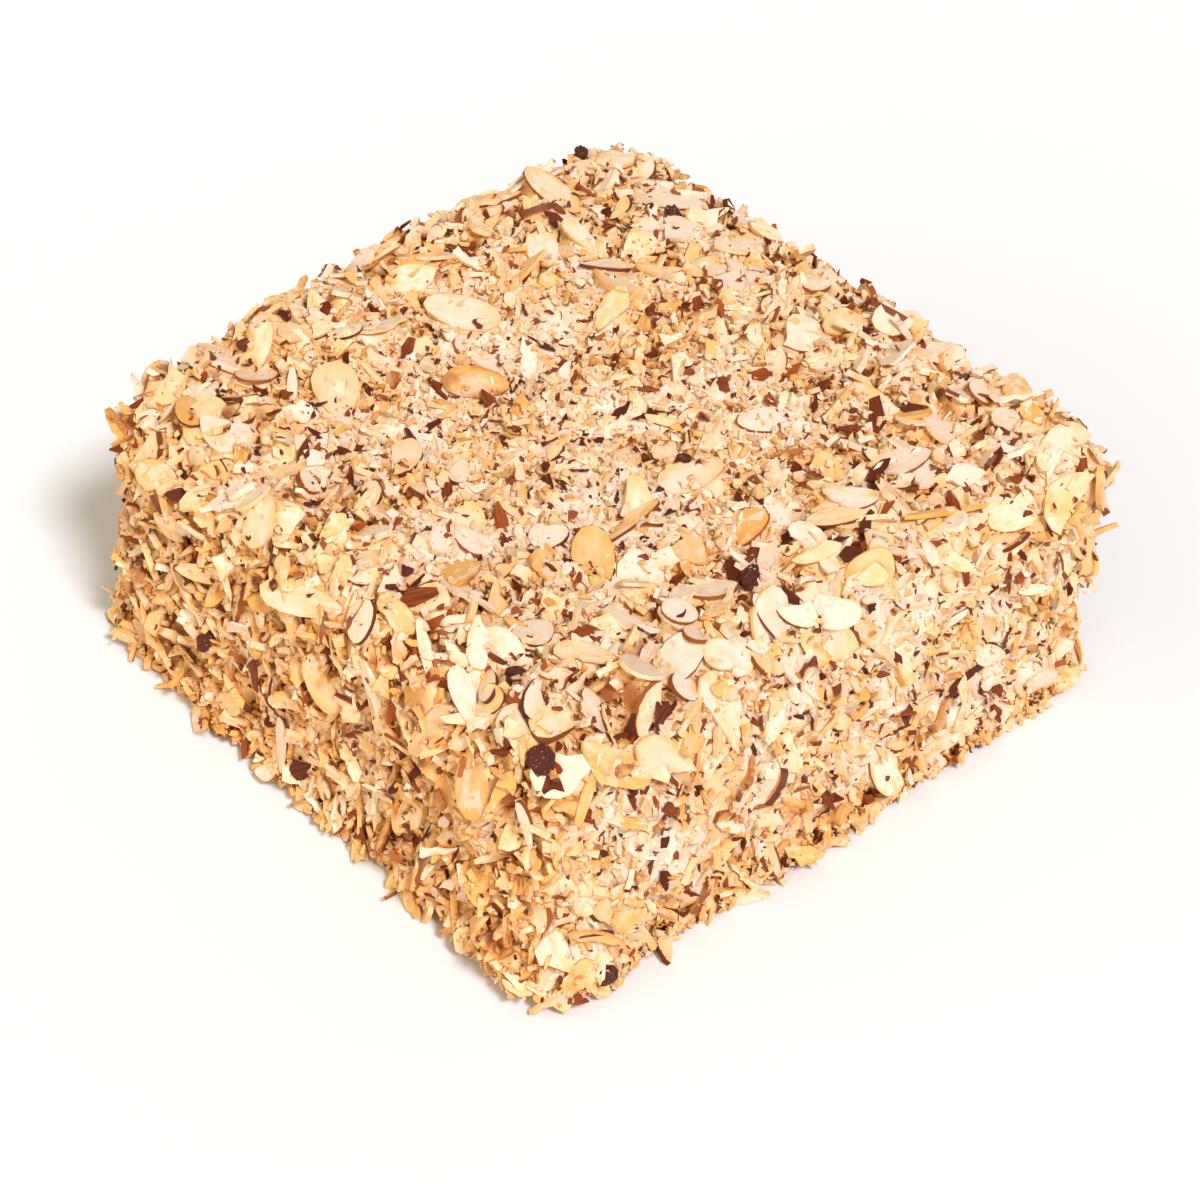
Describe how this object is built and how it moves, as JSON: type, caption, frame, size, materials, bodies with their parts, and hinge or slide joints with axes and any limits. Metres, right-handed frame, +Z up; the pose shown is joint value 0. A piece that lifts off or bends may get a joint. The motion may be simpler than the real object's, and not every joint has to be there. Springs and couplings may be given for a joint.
{
  "type": "almond crunch cake",
  "caption": "Whole square layer cake coated with cream and covered on its top and walls with sliced and chopped almonds.",
  "frame": {"origin": "middle of the flat underside, which the cake rests on", "axes": "+Z up; the square's walls face +X, -X, +Y and -Y"},
  "size_m": [0.2122, 0.2122, 0.0932],
  "materials": {
    "almond_coating": "matte sliced almonds, ivory to toasted, with brown skin at their rims",
    "cream": "soft satin whipped cream",
    "almond_skin": "dry matte brown nut skin"
  },
  "bodies": {
    "root": {"cake": "almond_coating"}
  },
  "joints": []
}
